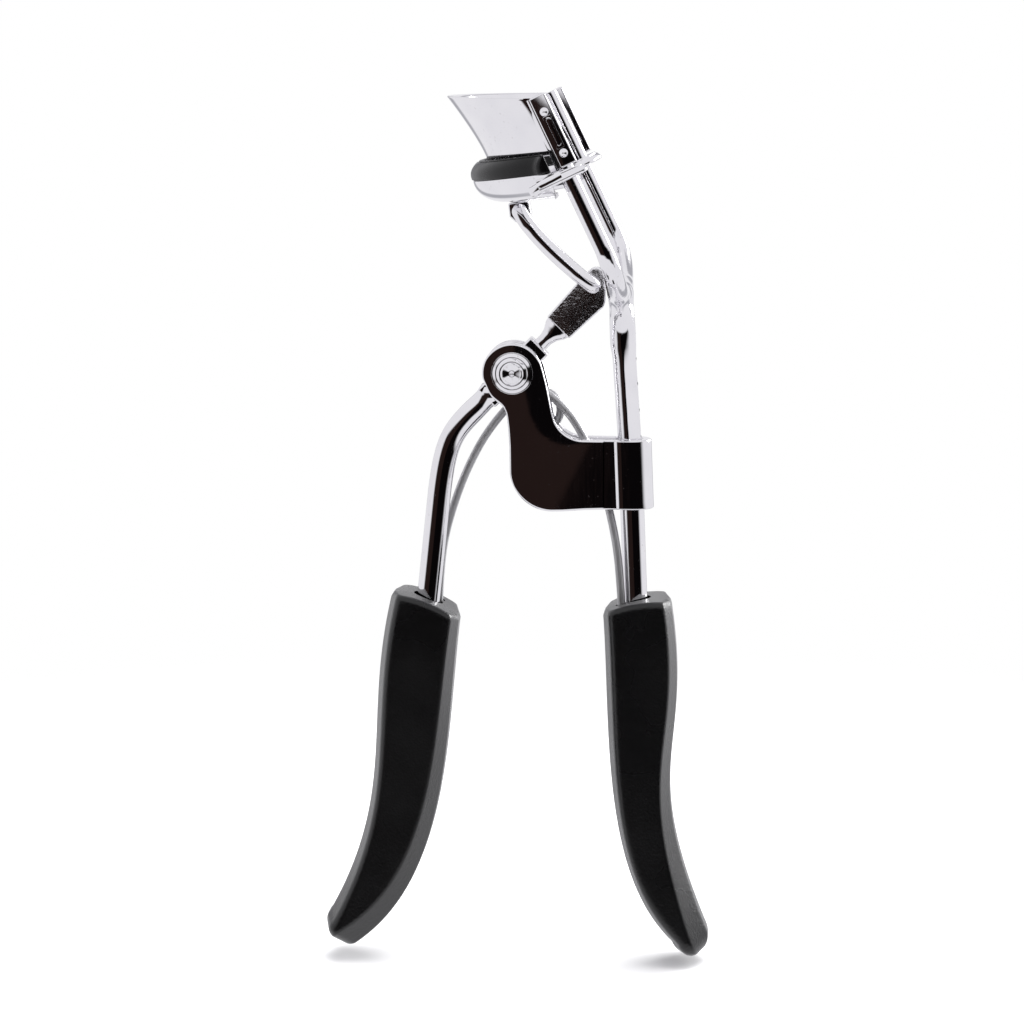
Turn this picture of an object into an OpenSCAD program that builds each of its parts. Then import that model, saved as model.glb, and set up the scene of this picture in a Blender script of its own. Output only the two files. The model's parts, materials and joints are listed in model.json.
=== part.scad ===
// Eyelash curler: forked frame, sliding lower jaw, squeeze lever with link and return spring.
// Origin under the middle of the tool at the lower grip tip, +Z up, jaws along Y, lever at -X.
// Points written [x, z] lie in the middle plane and are measured from the pivot axis.

/* [Stance] */
// Height of the pivot axis above the lower grip tip
pivot_height = 75; // [75:0.5:80]
// Offset of the pivot axis from the middle of the tool
pivot_offset = -0.5; // [-1:0.1:0]

/* [Frame] */
// Diameter of the stem rod
stem_d = 3; // [2.8:0.1:3.2]
// Diameter of each guide rail
rail_d = 2.1; // [2:0.05:2.2]
// Distance from the middle plane to each rail
rail_half = 15.3; // [15.1:0.1:15.3]
// Lean of the rails from vertical, in degrees
lean = 25.6; // [25:0.2:26]

/* [Jaws] */
// Radius of the curling plate's outer face
plate_r = 19.2; // [19.1:0.05:19.2]
// Thickness of the curling plate
plate_t = 0.8; // [0.6:0.1:0.9]
// Height of the pad above its seat
pad_h = 2.4; // [2.1:0.1:2.5]
// Tilt of the lower jaw from horizontal, in degrees
jaw_tilt = 8.9; // [8.5:0.1:9.2]

/* [Lever] */
// Diameter of the lever's arm
arm_d = 2.9; // [2.7:0.1:3]
// Thickness of the flattened boss at the pivot
boss_t = 2.4; // [2.2:0.1:2.4]
// Diameter of the link rod
link_d = 1.9; // [1.7:0.1:2]

/* [Pivot] */
// Diameter of the pivot rivet's shank
rivet_d = 2.4; // [2.2:0.1:2.5]
// Thickness of each bracket ear
ear_t = 1.1; // [1:0.05:1.2]

/* [Spring] */
// Diameter of the spring wire
wire_d = 1; // [0.8:0.1:1]
// Middle radius of the spring coil
coil_r = 2.25; // [2.1:0.05:2.4]

/* [Grips] */
// Thickness of each grip from front to back
grip_t = 9.2; // [8.5:0.1:10]

/* [Hidden] */
$fn = 64;
eps = 0.02;
big = 80;

chrome = [0.88, 0.88, 0.9];
black_plastic = [0.06, 0.06, 0.065];
black_rubber = [0.04, 0.04, 0.045];
spring_grey = [0.55, 0.55, 0.55];

// Stem rod, from inside its grip to the fork
stem_foot = [16.5, -58];
stem_bend = [14.45, -7.3];
stem_head = [13.25, 9.9];

// Place where the guide eyes sit on the rails when the jaws are open
jaw_seat = [7.33, 25.66];
rail_low = -10.3;
rail_high = 9.2;

// Curling plate, in the frame that leans with the rails
plate_axis = 10;
flare_start = 6;
flare_rate = 0.0513;
plate_foot = 1.9;
plate_top = 34;
side_x = [-0.3, 1.75];
side_z = [0.35, 9.3];
side_t = 0.9;
side_y = rail_half + rail_d / 2 + 0.03;
rivet_places = [[0.75, 7.2], [0.75, 1.9]];
small_rivet_r = 0.45;
small_head_r = 0.72;

// Lower jaw, in the frame that is tilted with the jaw
pan_axis = 6.9;
pan_r = 19.3;
pan_floor = -3.2;
pan_t = 0.5;
pan_inner = 13.4;
pan_back = -1.6;
pan_half = 17.3;
pad_foot = -0.2;
pad_outer_r = 19.5;
pad_outer_axis = 7.4;
pad_inner_r = 19.9;
lug_place = [-7.3, -4.7];
lug_r = 1.3;
lug_t = 2;

// Lever points and the link's lower hole
arm_foot = [-13.2, -52];
arm_bend = [[-9.3, -15.5], [-8.3, -7], [-7.2, -7.4], [-2.2, -2.1]];
boss_len = 4.7;
boss_w = 3.1;
neck_end = [5.6, 5.5];
paddle_t = 1.8;
link_hole = [9.9, 10.8];
link_pin_r = 0.65;
link_hole_r = 0.97;
link_y = -2.15;

ear_in = boss_t / 2 + 0.1;
ear_out = ear_in + ear_t;
wrap_low = -16.9;
wrap_high = -8.2;
washer_t = 0.3;
washer_r = 2.7;
head_r = 1.95;
head_t = 0.6;

coil_centre = [3.6, -4.8];
coil_span = 396;
coil_half = 0.75;
left_leg_y = 1.8;

function cos_sin(r, a) = [r * cos(a), r * sin(a)];
function arc(c, r, a0, a1, n) = [for (i = [0 : n]) c + cos_sin(r, a0 + (a1 - a0) * i / n)];
function bezier(p, n) = [for (i = [0 : n]) let (t = i / n, u = 1 - t)
    u * u * u * p[0] + 3 * u * u * t * p[1] + 3 * u * t * t * p[2] + t * t * t * p[3]];
// A point given in the jaw's tilted frame, in pivot coordinates
function from_pan(p) = jaw_seat
    + p[0] * [cos(jaw_tilt), sin(jaw_tilt)] + p[1] * [-sin(jaw_tilt), cos(jaw_tilt)];
link_top = from_pan(lug_place);

// Moves a part drawn about the pivot axis to its standing place
module stand() {
    translate([pivot_offset, 0, pivot_height]) children();
}

// Frame that leans with the rails: Z along the rails, origin at the open guide eyes
module rail_frame() {
    translate([jaw_seat[0], 0, jaw_seat[1]]) rotate([0, -lean, 0]) children();
}

// Frame that is tilted with the lower jaw
module pan_frame() {
    translate([jaw_seat[0], 0, jaw_seat[1]]) rotate([0, -jaw_tilt, 0]) children();
}

// Round rod between two points of the middle plane
module rod(a, b, d, y = 0) {
    run = b - a;
    translate([a[0], y, a[1]])
        rotate([0, atan2(run[0], run[1]), 0])
            cylinder(h = norm(run), d = d);
}

// Pin along Y between two depths
module cross_pin(p, r, y0, y1) {
    translate([p[0], y0, p[1]]) rotate([-90, 0, 0]) cylinder(h = y1 - y0, r = r);
}

// Flat outline in the middle plane, given its thickness along Y between two depths
module flat(y0, y1) {
    translate([0, y1, 0]) rotate([90, 0, 0]) linear_extrude(y1 - y0) children();
}

// Tube of round section swept along a list of points
module sweep(path, radii, sides) {
    n = len(path);
    ahead = [for (i = [0 : n - 1])
        let (v = path[min(i + 1, n - 1)] - path[max(i - 1, 0)]) v / norm(v)];
    hint = [0.1, 0.05, 1];
    side = [for (v = ahead) let (c = cross(v, abs(v[2]) > 0.95 ? [0, 1, 0] : hint)) c / norm(c)];
    points = [for (i = [0 : n - 1]) for (k = [0 : sides - 1])
        let (a = 360 * k / sides)
            path[i] + radii[i] * (cos(a) * side[i] + sin(a) * cross(ahead[i], side[i]))];
    walls = [for (i = [0 : n - 2]) for (k = [0 : sides - 1])
        let (m = (k + 1) % sides)
            [i * sides + k, (i + 1) * sides + k, (i + 1) * sides + m, i * sides + m]];
    ends = [[for (k = [0 : sides - 1]) k],
        [for (k = [sides - 1 : -1 : 0]) (n - 1) * sides + k]];
    polyhedron(points, concat(walls, ends), convexity = 6);
}

// Fork: one bow from the foot of one rail, through the head of the stem, to the other rail
module fork() {
    foot = jaw_seat + rail_low * [-sin(lean), cos(lean)];
    bow = [for (i = [-10 : 10]) let (a = 9 * i, up = 1 - cos(a))
        [stem_head[0] + (foot[0] - stem_head[0]) * up * up, rail_half * sin(a),
            stem_head[1] + (foot[1] - stem_head[1]) * up]];
    radii = [for (i = [-10 : 10]) rail_d / 2 + 0.3 * cos(9 * i)];
    sweep(bow, radii, 12);
}

module stem() {
    color(chrome) stand() {
        rod(stem_foot, stem_bend, stem_d);
        translate([stem_bend[0], 0, stem_bend[1]]) sphere(d = stem_d);
        rod(stem_bend, stem_head, stem_d);
        fork();
    }
}

module rail(side) {
    color(chrome) stand() rail_frame()
        translate([0, side * rail_half, rail_low + eps])
            cylinder(h = rail_high - rail_low, d = rail_d);
}
module rail_left() { rail(-1); }
module rail_right() { rail(1); }

// Curling plate: bowed sheet whose upper part flares outwards
module curl_plate() {
    heights = [0, 2, 4, 6, 7.5, 9, 10.5, 12, 13.5, 15.5];
    flare = [for (h = heights) plate_r + flare_rate * pow(max(h - flare_start, 0), 1.5)];
    last = len(heights) - 1;
    profile = concat([for (i = [0 : last]) [flare[i], heights[i]]],
        [for (i = [last : -1 : 0]) [flare[i] - plate_t, heights[i]]]);
    color(chrome) stand() intersection() {
        difference() {
            rail_frame() translate([plate_axis, 0, 0])
                rotate([0, 0, 90]) rotate_extrude(angle = 180) polygon(profile);
            for (side = [-1, 1])
                rail_frame() translate([0, side * rail_half, -1])
                    cylinder(h = big, r = rail_d / 2 + 0.03);
        }
        pan_frame() translate([-big / 2, -side_y + 0.02, plate_foot])
            cube([big, 2 * side_y - 0.04, big]);
        translate([-big / 2, -big / 2, plate_top - big]) cube([big, big, big]);
        rail_frame() translate([-big - 0.3, -big / 2, -big / 2]) cube([big, big, big]);
    }
}

// Side plate: flat strip brazed to the outside of a rail, with a pressed groove
module side_plate(side) {
    groove = 0.25;
    color(chrome) stand() rail_frame() scale_side(side) difference() {
        translate([side_x[0], side_y, side_z[0]])
            cube([side_x[1] - side_x[0], side_t, side_z[1] - side_z[0]]);
        translate([0.75 - groove, side_y + side_t - 0.15, 2.9]) cube([2 * groove, 1, 3.4]);
        for (p = rivet_places)
            cross_pin(p, small_rivet_r + 0.01, side_y - 1, side_y + side_t + 1);
    }
}
// Mirrors a part drawn on the +Y side to the asked side
module scale_side(side) {
    if (side > 0) children();
    else mirror([0, 1, 0]) children();
}
module side_plate_left() { side_plate(-1); }
module side_plate_right() { side_plate(1); }

module plate_rivets(side) {
    face = side_y + side_t;
    color(chrome) stand() rail_frame() scale_side(side)
        for (p = rivet_places) {
            cross_pin(p, small_rivet_r, side_y, face);
            cross_pin(p, small_head_r, face, face + 0.22);
        }
}
module plate_rivets_left() { plate_rivets(-1); }
module plate_rivets_right() { plate_rivets(1); }

// Ear outline of the bracket, round at the pivot with one round and one hollow corner
module ear_outline() {
    circle(r = 3.75);
    polygon(concat([[-0.6, -3.65], [-0.35, -9]],
        arc([5, wrap_low + 5], 5, 180, 270, 10),
        [[9.2, wrap_low], [9.2, wrap_high]],
        arc([8.9, wrap_high + 4], 4, 270, 190, 8),
        [[3.62, 1.0]]));
}

// Bracket: one sheet folded round the stem, its two ends standing as ears at the pivot
module bracket() {
    axis = stem_foot - stem_bend;
    wrap_t = 1.25;
    wrap_r = stem_d / 2 + 0.03 + wrap_t;
    leg_out = wrap_r - 0.06;
    middle = stem_bend + axis * ((wrap_low + wrap_high) / 2 - stem_bend[1]) / axis[1];
    color(chrome) stand() difference() {
        union() {
            for (side = [-1, 1]) scale_side(side) flat(ear_in, ear_out) ear_outline();
            intersection() {
                translate([middle[0], 0, middle[1]]) rotate([0, atan2(-axis[0], -axis[1]), 0])
                    translate([0, 0, -10]) linear_extrude(20) {
                        circle(r = wrap_r);
                        for (side = [-1, 1])
                            polygon([[0, side * leg_out], [-4.4, side * leg_out],
                                [-6.4, side * (ear_out - 0.04)], [-6.4, side * (ear_in + 0.04)],
                                [0, side * (ear_in + 0.04)]]);
                    }
                translate([-big / 2, -big / 2, wrap_low + 0.04])
                    cube([big, big, wrap_high - wrap_low - 0.08]);
            }
        }
        cross_pin([0, 0], rivet_d / 2 + 0.02, -10, 10);
        rod(stem_foot, stem_bend, stem_d + 0.06);
        translate([middle[0] - 8, -stem_d / 2 + 0.02, wrap_low - 1])
            cube([8, stem_d - 0.04, wrap_high - wrap_low + 2]);
    }
}

module pivot_rivet() {
    seat = ear_out + washer_t;
    color(chrome) stand() {
        cross_pin([0, 0], rivet_d / 2, -seat, seat);
        for (side = [-1, 1]) scale_side(side) difference() {
            cross_pin([0, 0], head_r, seat, seat + head_t);
            cross_pin([0, 0], 1.1, seat + head_t - 0.2, seat + head_t + 1);
        }
    }
}

module washer(side) {
    color(chrome) stand() scale_side(side) difference() {
        cross_pin([0, 0], washer_r, ear_out, ear_out + washer_t);
        cross_pin([0, 0], rivet_d / 2 + 0.02, 0, 10);
    }
}
module washer_left() { washer(-1); }
module washer_right() { washer(1); }

// Moulded grip: bowed outline with a hole for the rod and one for the spring's leg
module grip(left_edge, right_edge, tip, rod_a, rod_b, rod_d, wire_a, wire_b, wire_y) {
    outline = concat(bezier(left_edge, 14), tip, bezier(right_edge, 14));
    mouth = rod_b + (rod_b - rod_a) * 0.1;
    color(black_plastic) stand() difference() {
        flat(-grip_t / 2, grip_t / 2) polygon(outline);
        rod(rod_a, mouth, rod_d + 0.06);
        rod(wire_a, wire_b, wire_d + 0.7, wire_y);
    }
}

module stem_grip() {
    grip([[11.3, -29.8], [12.4, -43.2], [10.8, -63.3], [20.2, -72.2]],
        [[24.6, -70.5], [15.3, -48.1], [23.1, -48.5], [19.7, -28.2]],
        [[21.4, -73.6], [22.6, -74.6], [23.8, -74.4], [24.6, -73.2], [24.9, -71.8]],
        stem_foot, [15.3, -28.5], stem_d, [13.15, -40], [13.15, -26], -coil_half);
}

module lever_grip() {
    grip([[-15.1, -27.6], [-19.2, -44.3], [-14.4, -52.8], [-23.3, -69.1]],
        [[-20.0, -73.3], [-7.5, -64.4], [-8.6, -44.9], [-6.7, -30.7]],
        [[-23.8, -71], [-23.3, -72.6], [-22.2, -73.5], [-21, -73.7]],
        arm_foot, [-10.55, -27.2], arm_d, [-8.9, -40], [-8.9, -26], left_leg_y);
}

// Spring: one long turn between the ears, one leg down into each grip
module spring() {
    steps = 20;
    left_leg = [[-8.9, left_leg_y, -36], [-8.9, left_leg_y, -31], [-9.15, left_leg_y, -26],
        [-8.9, 1.7, -21.5], [-7.9, 1.5, -17.2], [-6.2, 1.2, -12.8], [-3.9, 0.9, -8.7],
        [-1.2, coil_half, -4.9], [1.0, coil_half, -3.1]];
    right_leg = [[5.2, -coil_half, -3.3], [7.2, -coil_half, -5.5], [8.9, -coil_half, -8.3],
        [10.6, -coil_half, -12.2], [12, -coil_half, -17], [12.9, -coil_half, -22],
        [13.15, -coil_half, -27], [13.15, -coil_half, -31], [13.15, -coil_half, -36]];
    coil = [for (i = [0 : steps]) let (a = 90 + (coil_span - 360) / 2 - coil_span * i / steps)
        [coil_centre[0] + coil_r * cos(a), coil_half * (1 - 2 * i / steps),
            coil_centre[1] + coil_r * sin(a)]];
    path = concat(left_leg, coil, right_leg);
    color(spring_grey) stand() sweep(path, [for (p = path) wire_d / 2], 8);
}

// Paddle outline, widening to a rounded tip that rests against the stem
module paddle_outline() {
    polygon([[3.0, 4.2], [4.2, 3.0], [6.75, 4.05], [11.25, 8.2], [11.4, 8.8], [11.4, 11.9],
        [11.1, 12.7], [10.5, 13.1], [9.8, 13], [9.0, 12.3], [4.3, 6.9]]);
}

// Arm radius, drawn down a little where the arm runs into the boss
function arm_radius(p) = arm_d / 2 - 0.3 * max(0, 1 - norm(p) / 7);

module lever() {
    arm = concat([arm_foot, (arm_foot + arm_bend[0]) / 2], bezier(arm_bend, 12));
    color(chrome) stand() difference() {
        union() {
            sweep([for (p = arm) [p[0], 0, p[1]]], [for (p = arm) arm_radius(p)], 12);
            cross_pin([0, 0], 2.4, -boss_t / 2, boss_t / 2);
            flat(-boss_t / 2, boss_t / 2)
                rotate(45) square([2 * boss_len, boss_w], center = true);
            rod([2.8, 2.8], neck_end, 2.2);
            flat(-paddle_t / 2, paddle_t / 2) paddle_outline();
        }
        cross_pin([0, 0], rivet_d / 2 + 0.06, -10, 10);
        cross_pin(link_hole, link_hole_r, -10, 10);
    }
}

// Pan: bowed channel under the pad, its outer edge rolled up to the pad's foot
module jaw_pan() {
    roll = pad_foot - pan_floor;
    outer = [for (a = [0 : 15 : 90]) [pan_r - 4 + 4 * cos(a), pad_foot - roll * sin(a)]];
    inner = [for (a = [90 : -15 : 0])
        [pan_r - 4 + (4 - pan_t) * cos(a), pad_foot - (roll - pan_t) * sin(a)]];
    profile = concat(outer, [[pan_inner, pan_floor], [pan_inner, pan_floor + pan_t]], inner);
    color(chrome) stand() pan_frame() intersection() {
        translate([pan_axis, 0, 0]) rotate([0, 0, 90])
            rotate_extrude(angle = 180) polygon(profile);
        translate([-big + pan_back, -pan_half, -10]) cube([big, 2 * pan_half, 20]);
    }
}

// Pad: bowed strip standing on the rim of the pan
module pad() {
    color(black_rubber) stand() intersection() {
        rail_frame() difference() {
            translate([pad_outer_axis, 0, -20]) cylinder(h = 40, r = pad_outer_r);
            translate([plate_axis, 0, -21]) cylinder(h = 42, r = pad_inner_r);
        }
        pan_frame() translate([-big, -pan_half, pad_foot + eps]) cube([big, 2 * pan_half, pad_h]);
        rail_frame() translate([-big - 1.55, -big / 2, -big / 2]) cube([big, big, big]);
    }
}

// Guide eye: strap from the pan's end that hooks round the rail and the side plate
module guide_eye(side) {
    low = -1.15;
    high = 0.1;
    out_y = 18.35;
    color(chrome) stand() rail_frame() scale_side(side) difference() {
        union() {
            translate([0, rail_half, low]) cylinder(h = high - low, r = 2);
            translate([-1.15, rail_half, low]) cube([3.65, out_y - rail_half, high - low]);
            translate([-4.2, pan_half + 0.3, low]) cube([4, out_y - pan_half - 0.3, 2.6]);
            translate([-3.2, pan_half, -0.9]) cube([1.3, 0.5, 1.6]);
        }
        translate([0, rail_half, low - 1]) cylinder(h = 4, r = rail_d / 2 + 0.08);
        translate([side_x[0] - 0.15, rail_half, low - 1])
            cube([side_x[1] - side_x[0] + 0.3, side_y + side_t + 0.4 - rail_half, 5]);
        translate([-5, 10, low - 1]) cube([5.15, 6.7, 5]);
    }
}
module guide_eye_left() { guide_eye(-1); }
module guide_eye_right() { guide_eye(1); }

// Lug under the pan that holds the upper end of the link
module jaw_lug() {
    color(chrome) stand() difference() {
        intersection() {
            union() {
                cross_pin(link_top, lug_r, -lug_t / 2, lug_t / 2);
                pan_frame() translate([lug_place[0] - lug_r, -lug_t / 2, lug_place[1]])
                    cube([2 * lug_r, lug_t, 2]);
            }
            pan_frame() translate([-big / 2, -big / 2, pan_floor - 0.01 - big])
                cube([big, big, big]);
        }
        cross_pin(link_top, link_pin_r + 0.05, -5, 5);
    }
}

// Link: rod whose two ends are bent square to pass through the lug and the paddle
module link() {
    color(chrome) stand() {
        rod(link_top, link_hole, link_d, link_y);
        for (p = [link_top, link_hole]) {
            translate([p[0], link_y, p[1]]) sphere(d = link_d + 0.06);
            cross_pin(p, link_pin_r, link_y, 1.5);
        }
    }
}

stem();
rail_left();
rail_right();
curl_plate();
side_plate_left();
side_plate_right();
plate_rivets_left();
plate_rivets_right();
bracket();
pivot_rivet();
washer_left();
washer_right();
stem_grip();
spring();
lever();
lever_grip();
jaw_pan();
pad();
guide_eye_left();
guide_eye_right();
jaw_lug();
link();
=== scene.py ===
import json
import bpy
import numpy as np
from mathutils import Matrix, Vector


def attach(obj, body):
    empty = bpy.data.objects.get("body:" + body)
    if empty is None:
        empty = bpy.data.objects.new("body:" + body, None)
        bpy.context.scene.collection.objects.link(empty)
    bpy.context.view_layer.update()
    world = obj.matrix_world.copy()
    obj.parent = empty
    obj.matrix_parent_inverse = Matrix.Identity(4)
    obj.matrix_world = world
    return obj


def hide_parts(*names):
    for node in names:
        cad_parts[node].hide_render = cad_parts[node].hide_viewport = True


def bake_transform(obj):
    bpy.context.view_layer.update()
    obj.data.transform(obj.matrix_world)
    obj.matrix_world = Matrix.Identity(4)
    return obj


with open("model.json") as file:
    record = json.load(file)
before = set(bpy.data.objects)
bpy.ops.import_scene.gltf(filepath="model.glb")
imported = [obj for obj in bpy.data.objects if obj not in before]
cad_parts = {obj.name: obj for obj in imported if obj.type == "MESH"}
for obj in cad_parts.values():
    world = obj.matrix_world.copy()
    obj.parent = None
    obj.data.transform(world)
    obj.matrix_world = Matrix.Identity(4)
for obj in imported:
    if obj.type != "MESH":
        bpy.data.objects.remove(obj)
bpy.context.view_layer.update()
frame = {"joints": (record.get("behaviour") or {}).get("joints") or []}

# ---------------------------------------------------------------------------
# The studio: a white sweep in a white tent, with the dark opening in front that
# gives polished chrome its black faces. Camera low and a little to the right.
# ---------------------------------------------------------------------------
MM = 0.001
target = Vector((-0.68, 0.0, 57.34)) * MM
camera_turn, camera_rise, camera_distance = np.radians(4.3), np.radians(8.7), 400 * MM
back = Vector((np.sin(camera_turn) * np.cos(camera_rise),
               -np.cos(camera_turn) * np.cos(camera_rise), np.sin(camera_rise)))
camera = bpy.data.objects.new("camera", bpy.data.cameras.new("camera"))
camera.data.lens = 112.5
camera.data.sensor_width = 36
camera.data.clip_start, camera.data.clip_end = 0.01, 10
camera.location = target + back * camera_distance
camera.rotation_mode = "QUATERNION"
camera.rotation_quaternion = (-back).to_track_quat("-Z", "Y")
bpy.context.scene.collection.objects.link(camera)
bpy.context.scene.camera = camera
bpy.context.scene.view_settings.view_transform = "Standard"


def linear(code):
    """Linear RGBA of an sRGB hex code."""
    s = np.array([int(code[i:i + 2], 16) for i in (0, 2, 4)]) / 255
    return (*np.where(s <= 0.04045, s / 12.92, ((s + 0.055) / 1.055) ** 2.4), 1.0)


def add(tree, kind, settings=None, **inputs):
    """Adds one node, with its settings and its inputs: values, or sockets to link from."""
    node = tree.nodes.new(kind)
    for key, value in (settings or {}).items():
        setattr(node, key, value)
    for key, value in inputs.items():
        socket = node.inputs[int(key[1:])] if key[0] == "_" else node.inputs[key.replace("__", " ")]
        if isinstance(value, bpy.types.NodeSocket):
            tree.links.new(value, socket)
        else:
            socket.default_value = value
    return node


def new_material(name):
    """An empty node material and its tree."""
    made = bpy.data.materials.new(name)
    made.use_nodes = True
    made.node_tree.nodes.clear()
    return made, made.node_tree


def coated(tree, colour, rough, bump, **constants):
    """A Principled surface of linked colour, roughness and bump, wired to the output."""
    shader = add(tree, "ShaderNodeBsdfPrincipled", Roughness=rough, Normal=bump, **constants)
    tree.links.new(colour, shader.inputs["Base Color"])
    add(tree, "ShaderNodeOutputMaterial", Surface=shader.outputs[0])
    return shader


def band(tree, value, middle, full, gone):
    """1 where value is within full of middle, fading smoothly to 0 at gone."""
    off = add(tree, "ShaderNodeMath", {"operation": "SUBTRACT"}, _0=value, _1=middle)
    size = add(tree, "ShaderNodeMath", {"operation": "ABSOLUTE"}, _0=off.outputs[0])
    fade = add(tree, "ShaderNodeMapRange", {"interpolation_type": "SMOOTHSTEP"},
               _0=size.outputs[0], _1=full, _2=gone, _3=1.0, _4=0.0)
    return fade.outputs[0]


def product(tree, a, b):
    """a times b."""
    return add(tree, "ShaderNodeMath", {"operation": "MULTIPLY"}, _0=a, _1=b).outputs[0]


world = bpy.data.worlds.new("tent")
bpy.context.scene.world = world
world.use_nodes = True
sky = world.node_tree
sky.nodes.clear()
way = add(sky, "ShaderNodeSeparateXYZ", _0=add(sky, "ShaderNodeTexCoord").outputs["Generated"])
open_x, open_y, open_z = (0.07, 0.78, 0.93), (-1.0, 0.8, 0.95), (-0.12, 0.3, 0.44)
opening = product(sky, band(sky, way.outputs[0], *open_x),
                  product(sky, band(sky, way.outputs[1], *open_y),
                          band(sky, way.outputs[2], *open_z)))
seam = add(sky, "ShaderNodeMath", {"operation": "ABSOLUTE"}, _0=way.outputs[0])
seam_x, seam_y = (0.3, 0.04, 0.12), (1.0, 0.2, 0.8)
behind = product(sky, band(sky, seam.outputs[0], *seam_x), band(sky, way.outputs[1], *seam_y))
cloth, seam_grey = (0.86, 0.855, 0.88, 1), (0.42, 0.42, 0.45, 1)
wall = add(sky, "ShaderNodeMix", {"data_type": "RGBA"}, _0=behind, _6=cloth, _7=seam_grey)
room_split, room_met = -0.075, -0.045
turn = add(sky, "ShaderNodeMapRange", {"interpolation_type": "SMOOTHSTEP"}, _0=way.outputs[0],
           _1=room_split, _2=room_met, _3=0.0, _4=1.0)
room = add(sky, "ShaderNodeMix", {"data_type": "RGBA"}, _0=turn.outputs[0], _6=linear("231917"),
           _7=linear("080607"))
tent = add(sky, "ShaderNodeMix", {"data_type": "RGBA"}, _0=opening, _6=wall.outputs[2],
           _7=room.outputs[2])
seen = add(sky, "ShaderNodeLightPath").outputs["Is Camera Ray"]
shown = add(sky, "ShaderNodeMix", {"data_type": "RGBA"}, _0=seen, _6=tent.outputs[2],
            _7=(1, 1, 1, 1))
light = add(sky, "ShaderNodeBackground", Color=shown.outputs[2], Strength=1.0)
add(sky, "ShaderNodeOutputWorld", Surface=light.outputs[0])


def soft_light(name, place, size, power, mirrored):
    """A square area light at place, aimed at the tool's middle; chrome shows it if mirrored."""
    lamp = bpy.data.lights.new(name, "AREA")
    lamp.size, lamp.energy = size, power
    holder = bpy.data.objects.new(name, lamp)
    holder.location = place
    holder.rotation_mode = "QUATERNION"
    holder.rotation_quaternion = (target - Vector(place)).to_track_quat("-Z", "Y")
    holder.visible_glossy = mirrored
    bpy.context.scene.collection.objects.link(holder)


soft_light("top_light", (0.1, 0.15, 0.9), 0.8, 9.0, False)
soft_light("side_light", (0.42, 0.38, 0.22), 0.34, 2.4, True)

floor_half, fade_start, fade_end = 1.5, 0.06, 0.2
sweep = bpy.data.meshes.new("floor")
sweep.from_pydata([(-floor_half, -floor_half, 0), (floor_half, -floor_half, 0),
                   (floor_half, floor_half, 0), (-floor_half, floor_half, 0)], [],
                  [(0, 1, 2, 3)])
floor = bpy.data.objects.new("floor", sweep)
floor.visible_glossy = False
bpy.context.scene.collection.objects.link(floor)
paper, sheet_tree = new_material("white paper")
grain = add(sheet_tree, "ShaderNodeTexNoise", Scale=900.0, Detail=3.0)
tint = add(sheet_tree, "ShaderNodeMix", {"data_type": "RGBA"}, _0=grain.outputs[0],
           _6=linear("FAFAFB"), _7=linear("FFFFFF"))
matt = add(sheet_tree, "ShaderNodeBsdfDiffuse", Color=tint.outputs[2])
place = add(sheet_tree, "ShaderNodeTexCoord").outputs["Object"]
reach = add(sheet_tree, "ShaderNodeVectorMath", {"operation": "LENGTH"}, _0=place)
end = add(sheet_tree, "ShaderNodeMapRange", {"interpolation_type": "SMOOTHSTEP"},
          _0=reach.outputs["Value"], _1=fade_start, _2=fade_end, _3=0.0, _4=1.0)
clear = add(sheet_tree, "ShaderNodeBsdfTransparent")
sheet = add(sheet_tree, "ShaderNodeMixShader", _0=end.outputs[0], _1=matt.outputs[0],
            _2=clear.outputs[0])
add(sheet_tree, "ShaderNodeOutputMaterial", Surface=sheet.outputs[0])
sweep.materials.append(paper)

# ---------------------------------------------------------------------------
# Frame: stem rod, fork and guide rails, one steel forging, ground smooth and
# chrome plated. The fork's root is filleted into the stem, whose inner edges are ground flat.
# ---------------------------------------------------------------------------
pivot = np.array(next(j for j in frame["joints"] if j["name"] == "squeeze")["pos_m"]) / MM
seat = np.array([7.33, 0.0, 25.66])
lean, tilt = np.radians(25.6), np.radians(8.9)
both_sides = ((-1, "left"), (1, "right"))


def turned(points, angle):
    """Points (x, y, z) of a frame that sits at the open guide eyes and is turned back by angle
    about Y."""
    p = np.asarray(points, float)
    c, s = np.cos(angle), np.sin(angle)
    return seat + np.stack([p[..., 0] * c - p[..., 2] * s, p[..., 1],
                            p[..., 0] * s + p[..., 2] * c], -1)


def grid_faces(rows, columns, closed=True):
    """Quads of a grid of rows x columns vertices; closed joins the last column to the first."""
    r, c = np.meshgrid(np.arange(rows - 1), np.arange(columns if closed else columns - 1),
                       indexing="ij")
    n = (c + 1) % columns
    return np.stack([r * columns + c, r * columns + n, (r + 1) * columns + n,
                     (r + 1) * columns + c], -1).reshape(-1, 4)


def closed_tube(rings):
    """Vertices and faces of a skin over rings (rows x columns x 3), its two end rings filled."""
    rows, columns = rings.shape[:2]
    faces = grid_faces(rows, columns).tolist()
    faces.append(list(range(columns))[::-1])
    faces.append(list(range((rows - 1) * columns, rows * columns)))
    return rings.reshape(-1, 3), faces


def smooth_path(points, steps):
    """Catmull-Rom curve through points, steps to a span: each span blends its four nearest
    points."""
    p = np.asarray(points, float)
    p = np.vstack([2 * p[0] - p[1], p, 2 * p[-1] - p[-2]])
    t = np.linspace(0, 1, steps, endpoint=False)[:, None]
    spans = [0.5 * (2 * b + (c - a) * t + (2 * a - 5 * b + 4 * c - d) * t ** 2
                    + (3 * b - a - 3 * c + d) * t ** 3)
             for a, b, c, d in zip(p[:-3], p[1:-2], p[2:-1], p[3:])]
    return np.vstack(spans + [p[-2:-1]])


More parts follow.
